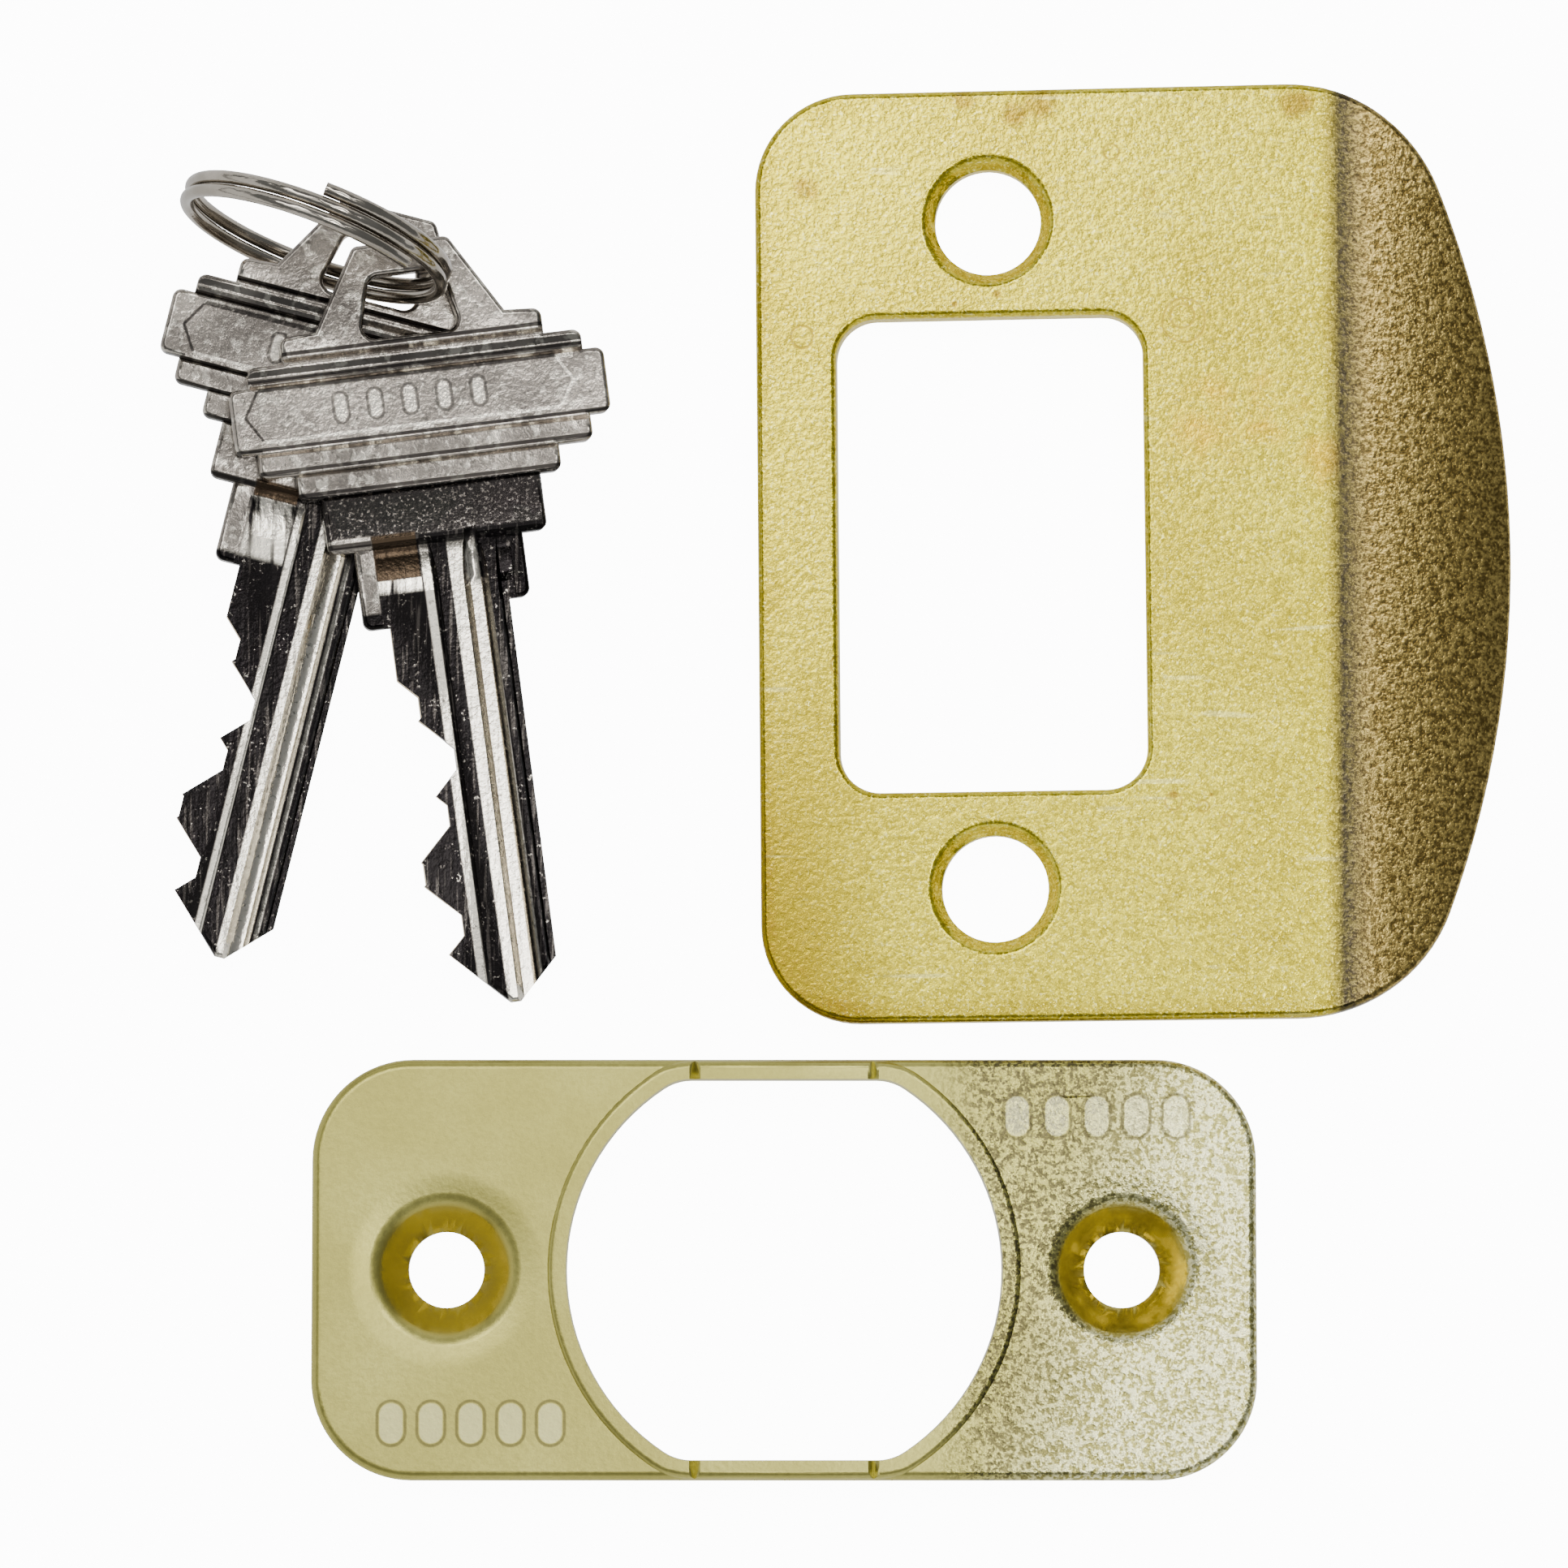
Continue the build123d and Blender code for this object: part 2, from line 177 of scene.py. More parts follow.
# %% A material with its nodes
class Finish:
    """One material: a Principled shader and the nodes that feed it."""

    def __init__(self, name):
        self.material = bpy.data.materials.new(name)
        self.material.use_nodes = True
        self.tree = self.material.node_tree
        self.shader = self.tree.nodes["Principled BSDF"]
        self.place = self.tree.nodes.new("ShaderNodeTexCoord").outputs["Object"]

    def node(self, kind, settings=None, **sockets):
        """Add a node: its settings first, then the values or links of its sockets."""
        made = self.tree.nodes.new(kind)
        for key, value in (settings or {}).items():
            setattr(made, key, value)
        for key, value in sockets.items():
            self.plug(value, made.inputs[key])
        return made

    def plug(self, value, socket):
        if isinstance(value, Value):
            self.tree.links.new(value.socket, socket)
        elif isinstance(value, bpy.types.NodeSocket):
            self.tree.links.new(value, socket)
        else:
            socket.default_value = value

    def axis(self, name):
        """Distance along X, Y or Z, in millimetres."""
        split = self.node("ShaderNodeSeparateXYZ", Vector=self.place)
        return Value(self.tree, split.outputs[name]) * (1.0 / MM)

    def facing(self, direction):
        """1 where the surface faces a direction, 0 where it is square to it."""
        product = self.node("ShaderNodeVectorMath", {"operation": "DOT_PRODUCT"})
        self.plug(self.node("ShaderNodeNewGeometry").outputs["Normal"], product.inputs[0])
        product.inputs[1].default_value = direction
        return Value(self.tree, product.outputs["Value"])

    def moved(self, centre, turn=0.0, scale=(1, 1, 1)):
        """Object coordinates about a centre in millimetres, turned about Z by degrees."""
        shift = self.node("ShaderNodeVectorMath", {"operation": "SUBTRACT"})
        self.plug(self.place, shift.inputs[0])
        shift.inputs[1].default_value = [v * MM for v in centre]
        mapping = self.node("ShaderNodeMapping", Vector=shift.outputs[0])
        mapping.inputs["Rotation"].default_value = (0, 0, math.radians(turn))
        mapping.inputs["Scale"].default_value = scale
        return mapping.outputs[0]

    def noise(self, size, detail=2.0, rough=0.5, vector=None):
        """Noise whose patches are about size millimetres across, from 0 to 1."""
        made = self.node("ShaderNodeTexNoise", Vector=vector or self.place, Scale=1.0 / (size * MM),
                         Detail=detail, Roughness=rough)
        return Value(self.tree, made.outputs["Fac"])

    def cells(self, size):
        """Distance to the nearest of many scattered points, about size millimetres apart."""
        made = self.node("ShaderNodeTexVoronoi", Vector=self.place, Scale=1.0 / (size * MM))
        return Value(self.tree, made.outputs["Distance"])

    def blend(self, mask, first, second):
        """Colour that is first where mask is 0 and second where it is 1."""
        mix = self.node("ShaderNodeMix", {"data_type": "RGBA"})
        self.plug(mask, mix.inputs[0])
        for value, socket in ((first, mix.inputs[6]), (second, mix.inputs[7])):
            if isinstance(value, tuple):
                socket.default_value = value + (1.0,)
            else:
                self.plug(value, socket)
        return mix.outputs[2]

    def bump(self, height, strength, distance_mm, below=None):
        """Normal of a fine relief, laid over the relief below."""
        made = self.node("ShaderNodeBump", Height=height, Strength=strength, Distance=distance_mm * MM)
        if below is not None:
            self.plug(below, made.inputs["Normal"])
        return made.outputs["Normal"]

    def finish(self, color, roughness, normal, metallic=1.0):
        """Feed the shader and give back the material."""
        for name, value in (("Base Color", color), ("Roughness", roughness), ("Normal", normal),
                            ("Metallic", metallic)):
            self.plug(value, self.shader.inputs[name])
        print(self.material.name, "has", len(self.tree.nodes), "nodes")
        return self.material


def put_on(piece, material):
    piece.data.materials.clear()
    piece.data.materials.append(material)


# %% [markdown]
# ## Metal colours
# Brass and nickel are coloured mirrors, so Base Color is the tint of what they reflect. Each alloy has a
# pale and a deep shade to drift between, a few colours of tarnish, lacquer and bare metal, and dark and
# bright colours for painted shade and painted highlights.

# %% Colours of each metal
BRASS_PALE = (0.84, 0.72, 0.055)
BRASS_DEEP = (0.72, 0.59, 0.040)
BRASS_GOLD = (0.30, 0.195, 0.011)
# BRASS_SHADE is painted shade in the dimples; BRASS_BRIGHT is painted glints and bright scratches
BRASS_SHADE = (0.36, 0.28, 0.012)
BRASS_BRIGHT = (0.97, 0.90, 0.30)
BRASS_CUT = (0.85, 0.60, 0.16)
STAIN_YELLOW = (0.74, 0.44, 0.01)
STAIN_BROWN = (0.30, 0.18, 0.02)
# painted shade of the strike plate's lip, darkest in the bend
LIP_LIGHT = (0.52, 0.38, 0.115)
LIP_DARK = (0.15, 0.10, 0.027)
LIP_BEND = (0.050, 0.046, 0.022)
FACE_PALE = (0.54, 0.50, 0.145)
FACE_DEEP = (0.44, 0.40, 0.105)
# painted shade and painted glints in the face plate's grain and round its bars; the dark one also
# colours dark specks
FACE_SHADE = (0.36, 0.32, 0.09)
FACE_DARK = (0.10, 0.085, 0.04)
FACE_LIGHT = (0.98, 0.95, 0.55)
LACQUER = (0.38, 0.31, 0.055)
NICKEL_WARM = (0.39, 0.35, 0.30)
NICKEL_GREY = (0.16, 0.143, 0.125)
# bright and dark nickel colours for painted highlights and painted shade; the darkest also fills pits
NICKEL_BRIGHT = (0.78, 0.73, 0.62)
NICKEL_DARK = (0.009, 0.008, 0.008)
NICKEL_SHADE = (0.030, 0.027, 0.025)
NICKEL_BROWN = (0.040, 0.028, 0.018)
RING_PALE = (0.44, 0.40, 0.34)
RING_GREY = (0.30, 0.27, 0.225)


# %% [markdown]
# ## Places taken from the frame
# Marks are placed from a plate's own edges or middle, which the frame knows.

# %% Edges and middles in millimetres
def middle(node):
    low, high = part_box(node)
    return [(a + b) / 2 / MM for a, b in zip(low, high)]


strike_low, strike_high = [[v / MM for v in corner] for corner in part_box("strike_plate")]
strike_mid = middle("strike_plate")
face_mid = middle("face_plate")
print("strike plate middle:", [round(v, 2) for v in strike_mid])
print("face plate middle:", [round(v, 2) for v in face_mid])


# %% [markdown]
# ## Marks that handling leaves
# A drop of water dries to a thin brown ring, a splash to a soft spot, and a plate that slides over
# another gets scratched. Each mark could be drawn on a texture, but the distance to a point is enough
# to make it, and a wobble of noise takes away the compass-drawn look.

# %% Rings, spots and scratches
RING_LINE = 0.12
RING_WOBBLE = 0.35
SPOT_WOBBLE = 0.9
SPOT_CORE = 0.35


def way_from(finish, x, y):
    """Distance from a point on a plate, in millimetres."""
    return distance_to(finish.axis("X") - x, finish.axis("Y") - y)


def ring_mark(finish, x, y, radius, wobble):
    """Edge of a dried drop: 1 on a circle of the given radius, 0 away from it."""
    distance = way_from(finish, x, y) + (wobble - 0.5) * (radius * RING_WOBBLE)
    return 1.0 - (distance - radius).away().between(0.0, RING_LINE)


def spot_mark(finish, x, y, radius, wobble=None):
    """Round patch: 1 in the middle, fading out at the radius."""
    distance = way_from(finish, x, y)
    if wobble is not None:
        distance = distance + (wobble - 0.5) * (radius * SPOT_WOBBLE)
    return 1.0 - distance.between(radius * SPOT_CORE, radius)


def scratch_lines(finish, turn, spacing, shift):
    """Thin, short, nearly parallel lines across the strike plate."""
    centre = [c + shift for c in strike_mid]
    streak = finish.noise(spacing, 1.0, 0.4, finish.moved(centre, turn, (0.035, 1.0, 1.0)))
    patch = finish.noise(7.0, 1.0, 0.4, finish.moved(centre))
    return streak.between(0.70, 0.76) * patch.between(0.52, 0.62)


# %% [markdown]
# ## Where the strike plate is marked
# Each row is one mark: its distance from the plate's left edge, its distance from the top edge, and its
# radius. A yellow streak lies beside the bolt opening, brown drips hang from the top edge, and dried
# drops and dark pits are scattered over the flat.

# %% Marks of the strike plate
STREAK = [(27.5, 20.7, 3.2), (31.3, 20.0, 3.0), (34.4, 23.2, 2.2)]
DRIPS = [(12.8, 0.6, 1.1), (17.4, 0.9, 1.7), (16.0, 1.6, 1.2), (33.0, 1.2, 1.3), (3.2, 6.2, 1.0)]
DROPS = [
    (21.8, 4.1, 0.45), (26.2, 14.6, 1.35), (26.1, 14.3, 0.75), (38.2, 4.7, 0.5), (37.6, 8.6, 0.4),
    (39.4, 22.2, 0.6), (41.9, 13.3, 0.42), (41.5, 21.8, 0.42), (24.1, 6.7, 0.3), (2.9, 15.3, 0.7),
    (27.2, 44.3, 0.35), (28.6, 45.2, 0.35), (25.4, 44.0, 0.5), (5.2, 35.5, 0.55), (38.4, 13.4, 0.35),
]
PITS = [
    (14.8, 12.8, 0.35), (12.2, 13.4, 0.3), (35.5, 18.6, 0.2), (36.3, 7.2, 0.22), (34.2, 8.2, 0.2),
    (25.4, 43.6, 0.4), (27.7, 43.6, 0.18), (34.1, 43.3, 0.2), (41.0, 11.0, 0.22), (34.6, 32.4, 0.16),
]
SCRATCHES = [(28, 0.9, 0), (-38, 0.8, 40), (74, 1.0, 90)]   # turn in degrees, spacing, shift
print("marks on the strike plate:", sum(len(rows) for rows in (STREAK, DRIPS, DROPS, PITS)))


def strike_marks(finish, rows, mark, *more):
    """One mask of all the marks of a kind, placed from the plate's left and top edges."""
    left = strike_low[0]
    top = strike_high[1]
    return all_of([mark(finish, left + x, top - y, radius, *more) for x, y, radius in rows])


# %% [markdown]
# ## Satin brass of the strike plate
# The sheet is dull-finished, plated and lacquered. Up close it is a field of tiny dimples, over cloudy
# tarnish that turns golden at the lower left corner and along the edges. The bent lip is painted a
# darker brown as shade, for the dark surroundings it mirrors, darkest in the bend. The dimples are too
# many for a mesh, so they are two sizes of noise, which paint shade into their hollows and glints onto
# their tops, and feed the bump together.

# %% Strike plate brass
LIP_BEND_X = 30.2                      # where the flat turns into the lip


def tarnished(f, color, corner, blotch):
    """Golden tarnish along the left edge, the lower edge and in the lower left corner."""
    from_left = f.axis("X") - strike_low[0]
    from_below = f.axis("Y") - strike_low[1]
    rim = (1.0 - from_left.between(0.0, 1.6)).larger(1.0 - from_below.between(0.2, 2.2))
    color = f.blend((corner + rim * 0.5) * (blotch * 0.6 + 0.65), color, BRASS_GOLD)
    return f.blend(blotch.between(0.56, 0.74) * 0.3, color, BRASS_GOLD)


def lip_painted_shade(f, color, speckle):
    """Painted shade on the lip: a brown, speckled tone, darkest in the bend itself."""
    x = f.axis("X")
    lip = x.between(LIP_BEND_X - 1.0, LIP_BEND_X + 0.5)
    bend = lip * (1.0 - x.between(LIP_BEND_X + 0.4, LIP_BEND_X + 3.0))
    # painted shade: darker brown over the lip, near black in the bend
    lip_shaded = f.blend(speckle, LIP_DARK, LIP_LIGHT)
    lip_shaded = f.blend(bend * 0.9, lip_shaded, f.blend(speckle, NICKEL_SHADE, LIP_BEND))
    return f.blend(lip * 0.985, color, lip_shaded)


def strike_brass():
    f = Finish("strike_brass")
    wobble = f.noise(2.2, 2)
    blotch = f.noise(4.2, 4, 0.6)
    grain = f.noise(0.40, 2.5, 0.55)
    fine = f.noise(0.17, 2, 0.5)
    from_left = f.axis("X") - strike_low[0]
    from_below = f.axis("Y") - strike_low[1]
    corner = (1.0 - from_left.between(1.0, 11.0)) * (1.0 - from_below.between(2.0, 30.0))
    color = f.blend(f.noise(13, 3).between(0.35, 0.68), BRASS_DEEP, BRASS_PALE)
    color = tarnished(f, color, corner, blotch)
    # dimples: painted shade in their hollows and painted glints on their tops
    speckle = (grain * 0.5 + fine * 0.5).between(0.40, 0.60)
    color = f.blend((1.0 - speckle) * 0.62, color, BRASS_SHADE)
    color = f.blend(fine.between(0.58, 0.68) * (1.0 - corner) * 0.7, color, BRASS_BRIGHT)
    # stains, drops and scratches
    streak = strike_marks(f, STREAK, spot_mark, wobble)
    drips = strike_marks(f, DRIPS, spot_mark, wobble)
    rings = strike_marks(f, DROPS, ring_mark, wobble)
    pits = strike_marks(f, PITS, spot_mark)
    scratches = all_of([scratch_lines(f, turn, spacing, shift) for turn, spacing, shift in SCRATCHES])
    color = f.blend(streak * blotch.between(0.3, 0.62) * 0.75, color, STAIN_YELLOW)
    color = f.blend(drips * blotch.between(0.25, 0.55) * 0.8, color, STAIN_BROWN)
    color = f.blend(rings * 0.62, color, STAIN_BROWN)
    color = f.blend(pits * 0.75, color, STAIN_BROWN)
    color = f.blend(scratches * 0.5, color, BRASS_BRIGHT)
    # painted shade over the bent lip
    color = lip_painted_shade(f, color, speckle)
    relief = f.bump(grain, 0.75, 0.06)
    relief = f.bump(fine, 0.5, 0.03, relief)
    relief = f.bump(rings * -1.0 + scratches * -0.6, 0.25, 0.02, relief)
    return f.finish(color, grain * 0.14 + 0.18 + rings * 0.1, relief)


# %% Strike plate
strike = refined_copy("strike_plate", "strike_plate_skin", "strike")
put_on(strike, strike_brass())


# %% [markdown]
# ## Rows of plain bars
# Near two corners of the face plate, and in the panel of each key, stands a row of plain upright bars.
# They are painted bright on top as a highlight, with a line of painted shade round their foot. Both
# could be drawn on a texture, but one number, the distance to the nearest bar, is enough to make them.

# %% Distance to a row of bars
MARK_X = 18.9                          # middle of a row of marks, from the face plate's middle
MARK_Y = 9.25
MARK_BAR = (0.5, 0.75, 2.4, 5)         # straight half, radius, pitch, count
PANEL_BAR = (0.475, 0.425, 2.1, 5)


def bar_distance(x, y, bar):
    """Distance to the nearest edge of a row of round-ended bars, negative inside them."""
    straight, radius, pitch, count = bar
    reach = (y.away() - straight).larger(0.0)
    offsets = [(step - (count - 1) / 2) * pitch for step in range(count)]
    nearest = distance_to(x - offsets[0], reach) - radius
    for offset in offsets[1:]:
        nearest = nearest.smaller(distance_to(x - offset, reach) - radius)
    return nearest


# %% [markdown]
# ## Brass of the face plate
# The left half is smooth and slightly dull, with faint painted shade in its grain. The right half has a
# coarser grain, with painted shade in its hollows and painted glints on its tops; it is painted darkest
# beside the opening as shade and brighter towards the right edge. Yellow lacquer has pooled in the
# countersinks, whose edges are drawn in a little where the punch came down. The halves could be two
# materials, but one wide, soft mask leaves no seam.

# %% Face plate brass
FACE_HOLE_OFFSET = 20.5                # from the middle to each screw hole
POOL_EDGE = (3.7, 4.3)                 # where the lacquer ends
DRAWN_EDGE = (3.9, 6.0)                # where the drawn-in rim starts and ends


def face_grain_shade(f, color, right, speckle, opening_shade):
    """Painted shade in the grain's hollows and painted glints on its tops, weak on the left and strong
    on the right; the shade deepens towards the opening.
    """
    color = f.blend((1.0 - right) * (1.0 - speckle) * 0.30, color, FACE_SHADE)
    color = f.blend(right * (1.0 - speckle) * (opening_shade * 0.62 + 0.30), color, FACE_DARK)
    return f.blend(right * speckle * (1.0 - opening_shade) * 0.9, color, FACE_LIGHT)


def face_brass():
    f = Finish("face_brass")
    across = f.axis("X") - face_mid[0]
    along = f.axis("Y") - face_mid[1]
    grain = f.noise(0.36, 3, 0.6)
    fine = f.noise(0.17, 2, 0.5)
    right = across.between(8.0, 12.5)
    # painted shade that deepens towards the opening, and glints that brighten away from it
    opening_shade = 1.0 - (across + along * -0.30).between(14.0, 24.5)
    speckle = (grain * 0.6 + fine * 0.4).between(0.44, 0.56)
    color = f.blend(f.noise(10, 3).between(0.35, 0.7), FACE_DEEP, FACE_PALE)
    # painted shade and painted glints in the grain
    color = face_grain_shade(f, color, right, speckle, opening_shade)
    # painted highlight on the raised bars, with a line of painted shade at their foot
    bars = bar_distance(across - MARK_X, along - MARK_Y, MARK_BAR).smaller(
        bar_distance(across + MARK_X, along + MARK_Y, MARK_BAR))
    color = f.blend((1.0 - (bars - 0.10).away().between(0.04, 0.14)) * 0.7, color, FACE_DARK)
    color = f.blend((1.0 - bars.between(-0.10, 0.0)) * 0.32, color, FACE_LIGHT)
    # lacquer in the countersinks, and their drawn-in edges
    holes = [distance_to(across - side * FACE_HOLE_OFFSET, along) for side in (-1, 1)]
    for hole in holes:
        pool = 1.0 - hole.between(*POOL_EDGE)
        color = f.blend(pool * 0.9, color, LACQUER)
        grain = grain * (1.0 - pool)
    # scattered dark specks
    specks = (1.0 - f.cells(1.6).between(0.0, 0.09)) * 0.5 * f.noise(3.0, 3).between(0.55, 0.6)
    color = f.blend(specks, color, FACE_DARK)
    relief = f.bump(holes[0].between(*DRAWN_EDGE) * holes[1].between(*DRAWN_EDGE), 1.0, 0.16)
    relief = f.bump(grain * (right * 0.8 + 0.2), 1.0, 0.07, relief)
    return f.finish(color, grain * 0.12 + 0.30 - right * 0.10, relief)


# %% Face plate
face = refined_copy("face_plate", "face_plate_skin", "face")
put_on(face, face_brass())


# %% [markdown]
# ## Nickel of the keys
# A key is stamped from brass sheet, milled and plated, and its bitting is cut last, which lays the
# yellow brass bare. The bow has a soft, pitted plate, with painted shade in the lines across it. The
# blade is painted nearly black as shade, with painted highlights on its milled grooves. All of this
# follows the key's own length, so the masks use two distances: `side`, across the key, and `height`, up
# from its tip.

# %% Where each key lies
# tip, heading in degrees, the two heights of the band of painted highlight, and the height where the
# blade painted dark as shade starts
KEY_PLACES = {
    "key_front": ((-20.96, -13.54), 7.84, 26.1, 25.4, 31.5),
    "key_rear": ((-38.79, -10.55), -13.73, 27.8, 24.2, 28.6),
}
BOW_LINES = [(40.4, 0.30), (38.95, 0.28), (34.8, 0.28), (33.35, 0.30), (31.75, 0.30), (28.4, 0.40)]
PANEL_HALF = 9.05
PANEL_POINT = 10.0
PANEL_LOW = 35.25
PANEL_HIGH = 38.4
PANEL_MIDDLE = (PANEL_LOW + PANEL_HIGH) / 2
SHOULDER_TOP = 28.7                    # height of the shoulders' upper edge
for key, place in KEY_PLACES.items():
    print(key, "points", place[1], "degrees from +Y")


class KeyFinish(Finish):
    """Nickel finish with the key's own directions and its grains."""

    def __init__(self, name, node):
        super().__init__(name)
        tip, self.heading, self.band_top, self.band_foot, self.shade_top = KEY_PLACES[node]
        turn = math.radians(self.heading)
        dx = self.axis("X") - tip[0]
        dy = self.axis("Y") - tip[1]
        self.side = dx * math.cos(turn) + dy * math.sin(turn)
        self.height = dy * math.cos(turn) - dx * math.sin(turn)
        self.cut_direction = (-math.cos(turn), -math.sin(turn), 0.0)
        self.tip = (tip[0], tip[1], 0)
        self.grain = self.noise(0.30, 3, 0.6)
        self.coarse = self.noise(0.75, 2, 0.5)
        self.fine = self.noise(0.20, 2, 0.5)
        tab_rows = self.left_of(-3.55, -3.40) * self.height.between(24.0, 24.2)
        self.tab = tab_rows * self.below(SHOULDER_TOP, SHOULDER_TOP + 0.2)

    def left_of(self, low, high):
        """1 left of low, 0 right of high."""
        return 1.0 - self.side.between(low, high)

    def stripe(self, left, right):
        """Lengthwise stripe of the key, from a soft left edge to a soft right edge."""
        return self.side.between(*left) * self.left_of(*right)

    def below(self, low, high):
        """1 below low, 0 above high."""
        return 1.0 - self.height.between(low, high)

    def lengthwise(self, stretch):
        """Coordinates for noise that runs along the key."""
        return self.moved(self.tip, -self.heading, (1.0, stretch, 1.0))


# %% [markdown]
# ## The blade
# Three painted highlights run along the blade, on a slanted wall, a wide groove and a narrow land. The
# cutter that made the wide recess beside them runs out under the shoulder, in a brown patch and a band
# of painted highlight.

# %% Plate, blade and recess
def plated(f):
    """Plate of the whole key, grey to warm, pitted and scuffed, with painted highlights along the
    blade's grooves.
    """
    color = f.blend(f.noise(5, 3).between(0.35, 0.7), NICKEL_GREY, NICKEL_WARM)
    groove = f.stripe((0.92, 1.05), (2.70, 2.85)) * f.below(27.0, 28.5)
    slant = f.stripe((-0.75, -0.6), (-0.2, -0.1)) * f.below(26.5, 28.5)
    land = f.stripe((2.9, 3.1), (3.2, 3.3)) * f.below(24.0, 26.0)
    bright = groove.larger(slant).larger(land * 0.7)
    # painted highlights on the slanted wall, the wide groove and the narrow land
    color = f.blend(bright * 0.85, color, NICKEL_BRIGHT)
    pocks = (1.0 - f.grain.between(0.34, 0.46)) * f.coarse.between(0.45, 0.6)
    color = f.blend(pocks * 0.75, color, NICKEL_DARK)
    color = f.blend(f.coarse.between(0.52, 0.66) * 0.5, color, NICKEL_BRIGHT)
    return color, bright


def blade_shade(f, color, dark):
    """Blade painted nearly black as shade, with a few painted glints and lengthwise scores, and speckled
    painted shade above the shoulder.
    """
    sparkle = f.fine.between(0.60, 0.70) * f.coarse.between(0.45, 0.6)
    scores = f.noise(0.22, 1, 0.5, f.lengthwise(0.02)).between(0.56, 0.66)
    upper = dark * f.height.between(SHOULDER_TOP - 0.2, SHOULDER_TOP)
    # painted shade: the blade nearly black, broken by painted glints
    color = f.blend(dark * (1.0 - sparkle * 0.5), color, NICKEL_DARK)
    # speckled painted shade above the shoulder
    color = f.blend(upper * 0.9, color, f.blend(f.fine.between(0.55, 0.66), NICKEL_SHADE, NICKEL_GREY))
    return f.blend(dark * (1.0 - upper) * scores * 0.2, color, NICKEL_GREY)


def run_out(f, color, mill):
    """Brown patch and a band of painted highlight where the cutter leaves the wide recess."""
    recess = f.left_of(-0.85, -0.75) * f.below(SHOULDER_TOP, SHOULDER_TOP + 0.2) * (1.0 - f.tab)
    patch = f.height.between(f.band_top - 0.2, f.band_top + 0.1)
    band = f.height.between(f.band_foot - 0.3, f.band_foot + 0.2) * f.below(f.band_top - 0.1, f.band_top)
    color = f.blend(recess * patch, color, NICKEL_BROWN)
    # band of painted highlight
    return f.blend(recess * band * mill.between(0.35, 0.6), color, NICKEL_BRIGHT)


# %% [markdown]
# ## The bow
# The lines across the bow are painted dark as shade in their grooves. The six-sided panel is sunk: its
# upper wall and left end are painted dark as shade, and its lower wall and right end are painted bright
# as highlight.

# %% Panel, bars and lines
def panelled(f, color):
    """Painted shade and highlights on the walls of the sunk panel, a grey tone on its floor, and painted
    highlights with painted shade at the foot of the plain bars left in it.
    """
    slope = (PANEL_POINT - PANEL_HALF) / (PANEL_HIGH - PANEL_MIDDLE)   # of the pointed ends
    from_middle = f.height - PANEL_MIDDLE
    outline = (f.side.away() + from_middle.away() * slope) - PANEL_POINT
    within = 1.0 - outline.between(-0.05, 0.05)
    from_low = f.height - PANEL_LOW
    from_high = f.height - PANEL_HIGH
    upper_wall = (1.0 - from_high.away().between(0.08, 0.20)) * within
    lower_wall = (1.0 - from_low.away().between(0.05, 0.15)) * within
    level = from_low.between(0.0, 0.1) * (1.0 - from_high.between(-0.1, 0.0))
    ends = (1.0 - outline.away().between(0.05, 0.15)) * level
    right_half = f.side.between(-0.1, 0.1)
    color = f.blend(within * level * f.coarse.between(0.42, 0.58) * 0.35, color, NICKEL_GREY)
    # painted highlight on the lower wall and right end, painted shade on the upper wall and left end
    color = f.blend(lower_wall.larger(ends * right_half) * 0.7, color, NICKEL_BRIGHT)
    color = f.blend(upper_wall.larger(ends * (1.0 - right_half)) * 0.85, color, NICKEL_DARK)
    # painted highlight on the panel's bars and painted shade at their foot
    bars = bar_distance(f.side, from_middle, PANEL_BAR)
    color = f.blend((1.0 - bars.between(-0.16, -0.06)) * 0.6, color, NICKEL_BRIGHT)
    return f.blend((1.0 - (bars - 0.04).away().between(0.04, 0.12)) * 0.7, color, NICKEL_SHADE)


def key_nickel(name, node):
    f = KeyFinish(name, node)
    mill = f.noise(0.5, 2, 0.5, f.lengthwise(0.03))
    color, bright = plated(f)
    blade = f.below(f.shade_top, f.shade_top + 0.2) * (1.0 - f.tab)
    dark = blade * (1.0 - bright)
    # painted shade over the blade
    color = blade_shade(f, color, dark)
    color = run_out(f, color, mill)
    color = panelled(f, color)
    lines = all_of([1.0 - (f.height - y).away().between(w * 0.30, w * 0.55) for y, w in BOW_LINES])
    # painted shade in the lines across the bow
    color = f.blend(lines * 0.9 * (1.0 - dark), color, NICKEL_DARK)
    # the bitting cuts lay the brass bare
    cuts = f.facing(f.cut_direction).between(0.45, 0.65) * f.below(23.0, 23.3)
    color = f.blend(cuts * f.left_of(-1.2, -0.95), color, BRASS_CUT)
    relief = f.bump(f.grain, 0.5, 0.04)
    relief = f.bump(f.coarse, 0.25, 0.05, relief)
    relief = f.bump(mill * blade, 0.5, 0.04, relief)
    return f.finish(color, f.grain * 0.10 + 0.16 + lines * 0.2, relief)


# %% Keys
key_front = refined_copy("key_front", "key_front_skin", "front_key")
put_on(key_front, key_nickel("key_nickel_front", "key_front"))
key_rear = refined_copy("key_rear", "key_rear_skin", "rear_key")
put_on(key_rear, key_nickel("key_nickel_rear", "key_rear"))


# %% [markdown]
# ## Split ring
# Drawn spring wire, plated and tumbled smooth. Round wire makes its own dark and bright lines from what
# it mirrors, so the finish only needs a slight cloudiness and a very fine grain.

# %% Ring wire
def ring_nickel():
    f = Finish("ring_nickel")
    color = f.blend(f.noise(3, 3).between(0.35, 0.7), RING_GREY, RING_PALE)
    grain = f.noise(0.25, 2, 0.5)
    return f.finish(color, grain * 0.1 + 0.10, f.bump(grain, 0.1, 0.02))


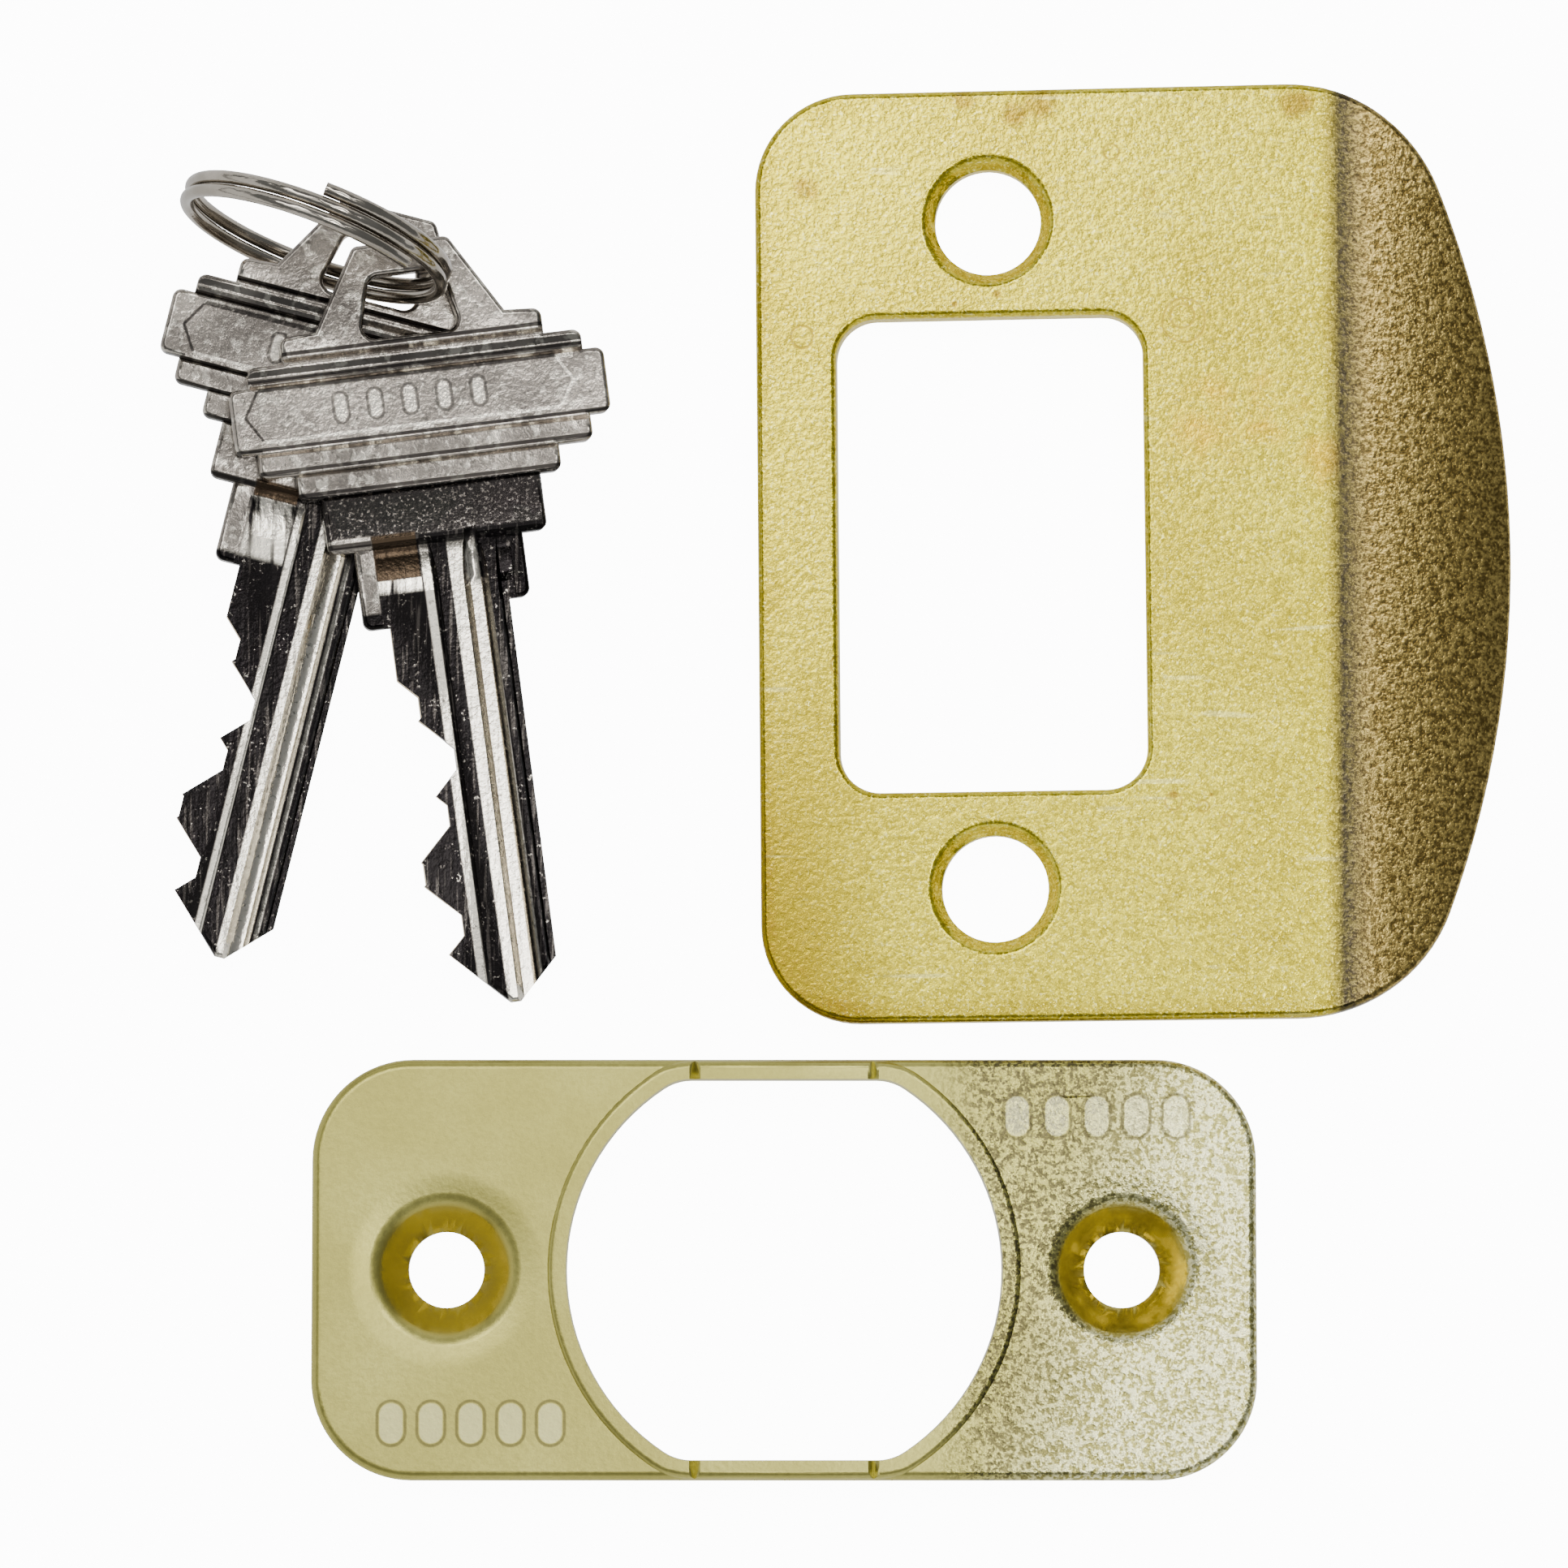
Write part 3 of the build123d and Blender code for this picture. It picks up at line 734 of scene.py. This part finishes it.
ring = refined_copy("split_ring", "split_ring_skin", "ring")
put_on(ring, ring_nickel())


# %% [markdown]
# ## Pale table
# The table is two planes. The upper one is what the camera sees, bright and even. The lower one is
# what the metal mirrors, much dimmer, so that edges and wire keep their dark lines. One plane bright
# enough for the camera would turn every upright edge white.

# %% Table
TABLE_SIZE = 3.0
SEEN_GLOW = 12.0
MIRRORED_GLOW = 0.8


def table_plane(name, height_mm, glow):
    """Large plain white plane below the hardware that also gives off some light."""
    bpy.ops.object.select_all(action="DESELECT")
    bpy.ops.mesh.primitive_plane_add(size=TABLE_SIZE, location=(0, 0, height_mm * MM))
    plane = bpy.context.object
    plane.name = name
    white = Finish(name + "_white")
    paper = white.blend(white.noise(60, 2) * 0.2, (0.93, 0.93, 0.93), (0.90, 0.90, 0.90))
    put_on(plane, white.finish(paper, 0.6, white.bump(white.noise(2, 2), 0.02, 0.05), 0.0))
    white.shader.inputs["Emission Color"].default_value = (1.0, 1.0, 1.0, 1.0)
    white.shader.inputs["Emission Strength"].default_value = glow
    return plane


seen_table = table_plane("table", -0.05, SEEN_GLOW)
seen_table.visible_glossy = False
seen_table.visible_diffuse = False
mirrored_table = table_plane("table_under", -0.10, MIRRORED_GLOW)
mirrored_table.visible_camera = False


# %% [markdown]
# ## Camera
# The camera looks almost straight down from 42 centimetres, so the outlines of the flat pieces stay
# true. It could be turned by a constraint, but two angles in numbers are easier to keep the same.

# %% Camera
CAMERA_DISTANCE = 0.420
CAMERA_ELEVATION = math.radians(85.2)
FIELD_WIDTH = 0.0956                   # width of the view at the look-at point
SENSOR = 36.0
LOOK_AT = Vector((-3.25, -0.28, 1.5)) * MM

camera_data = bpy.data.cameras.new("camera")
camera_data.sensor_width = SENSOR
camera_data.lens = SENSOR * CAMERA_DISTANCE / FIELD_WIDTH
camera_data.clip_start = 0.01
camera_data.clip_end = 10.0
camera = bpy.data.objects.new("camera", camera_data)
bpy.context.scene.collection.objects.link(camera)
away_from_target = Vector((0, -math.cos(CAMERA_ELEVATION), math.sin(CAMERA_ELEVATION)))
camera.location = LOOK_AT + CAMERA_DISTANCE * away_from_target
camera.rotation_euler = (math.pi / 2 - CAMERA_ELEVATION, 0, 0)
bpy.context.scene.camera = camera
print("lens in millimetres:", round(camera_data.lens, 1))


# %% [markdown]
# ## Studio light
# Flat metal shows what hangs over it, so five boxes hang level above the table: two over the left, two
# over the right and one far back. back_left overlaps wide_left, so it hangs a little lower, because of
# two boxes at one height only one is seen. Three low boxes at the sides give the edges something to
# mirror. All are set by brightness instead of watts, because brightness is what a mirror shows.

# %% Softboxes
def softbox(name, place, target, size, level):
    """Rectangular light of a given brightness that faces a target."""
    data = bpy.data.lights.new(name, "AREA")
    data.shape = "RECTANGLE"
    data.size, data.size_y = size
    data.energy = math.pi * size[0] * size[1] * level
    lamp = bpy.data.objects.new(name, data)
    bpy.context.scene.collection.objects.link(lamp)
    lamp.location = place
    aim = Vector(target) - Vector(place)
    lamp.rotation_euler = aim.to_track_quat("-Z", "Y").to_euler()
    print(name, "gives", round(data.energy, 2), "W")
    return lamp


# name, centre, size and brightness of each box that hangs level above the table, and its height
SOFTBOXES = [
    ("wide_left", (-0.195, 0.10), (0.33, 0.44), 1.45, 0.62),
    ("back_left", (-0.190, 0.24), (0.26, 0.24), 5.5, 0.61),
    ("front_right", (0.122, -0.065), (0.136, 0.12), 14.0, 0.62),
    ("back_right", (0.100, 0.100), (0.09, 0.10), 0.4, 0.62),
    ("far_back", (0.230, 0.25), (0.26, 0.20), 8.0, 0.62),
]
for name, (x, y), size, level, height in SOFTBOXES:
    softbox(name, (x, y, height), (x, y, 0), size, level)

# %% Low boxes and the room
SIDE_DISTANCE = 0.95
SIDE_HEIGHT = 0.32
SIDE_SIZE = (1.6, 0.50)
SIDE_LEVEL = 0.9
ROOM_LIGHT = 0.26
ROOM_COLOR = (0.9, 0.95, 1.0, 1.0)

for name, x, y in (("side_back", 0, 1), ("side_front", 0, -1), ("side_left", -1, 0)):
    place = (x * SIDE_DISTANCE, y * SIDE_DISTANCE, SIDE_HEIGHT)
    box = softbox(name, place, (0, 0, 0), SIDE_SIZE, SIDE_LEVEL)
    box.visible_camera = False
world = bpy.data.worlds.new("studio")
bpy.context.scene.world = world
world.use_nodes = True
world.node_tree.nodes["Background"].inputs["Color"].default_value = ROOM_COLOR
world.node_tree.nodes["Background"].inputs["Strength"].default_value = ROOM_LIGHT
